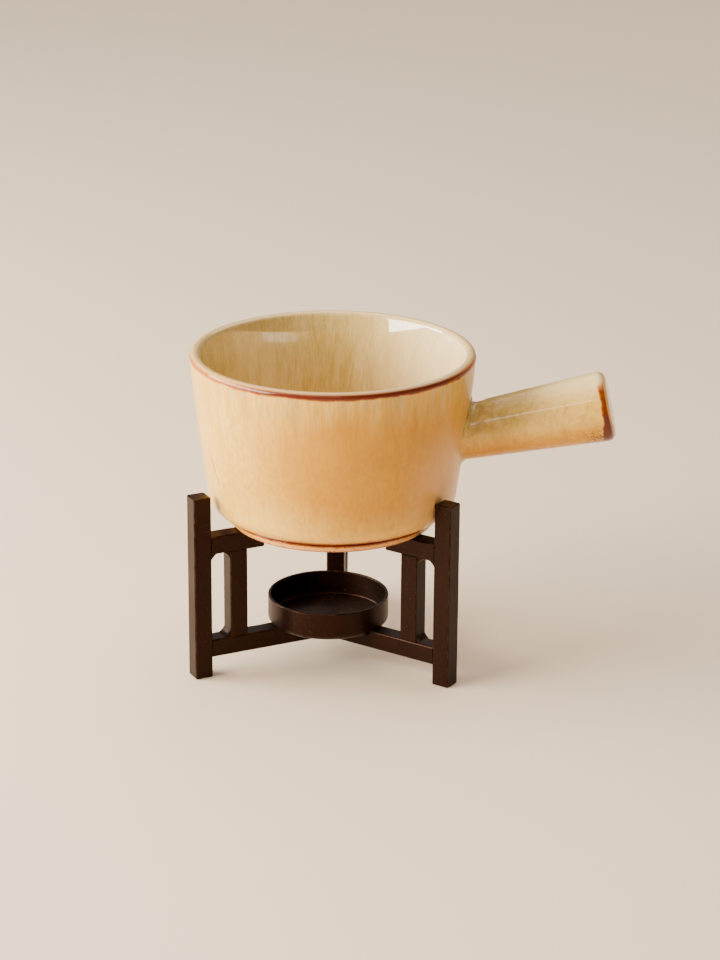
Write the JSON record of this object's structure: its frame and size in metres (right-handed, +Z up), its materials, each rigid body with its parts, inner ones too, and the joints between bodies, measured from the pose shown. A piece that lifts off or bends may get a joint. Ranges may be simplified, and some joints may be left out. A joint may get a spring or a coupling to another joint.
{
  "type": "fondue pot set",
  "caption": "Small stoneware pot with a stub handle, standing on a welded square-bar stand over a dish for a tealight.",
  "frame": {"origin": "on the floor, on the stand's axis, midway between the feet", "axes": "+Z up, +X along the pot's handle, +Y towards the back leg"},
  "size_m": [0.1813, 0.1264, 0.1393],
  "materials": {
    "bowl_glaze": "cream and honey reactive glaze that breaks to iron brown at the rim, glossy",
    "handle_glaze": "the same glaze, breaking to brown at the handle's end",
    "bar_paint": "satin black paint on steel bar",
    "dish_paint": "satin black paint, slightly speckled",
    "weld_paint": "satin black paint over weld metal"
  },
  "bodies": {
    "stand": {"outer_post_back": "bar_paint", "inner_post_back": "bar_paint", "upper_arm_back": "bar_paint", "lower_arm_back": "bar_paint", "corner_welds_back": "weld_paint", "outer_post_left": "bar_paint", "inner_post_left": "bar_paint", "upper_arm_left": "bar_paint", "lower_arm_left": "bar_paint", "corner_welds_left": "weld_paint", "outer_post_right": "bar_paint", "inner_post_right": "bar_paint", "upper_arm_right": "bar_paint", "lower_arm_right": "bar_paint", "corner_welds_right": "weld_paint", "tealight_dish": "dish_paint", "dish_welds": "weld_paint"},
    "pot": {"pot_bowl": "bowl_glaze", "pot_handle": "handle_glaze"}
  },
  "joints": [
    {"name": "pot_lift", "type": "slide", "parent": "stand", "child": "pot", "axis": [0, 0, 1], "range_m": [0, 0.12]}
  ]
}
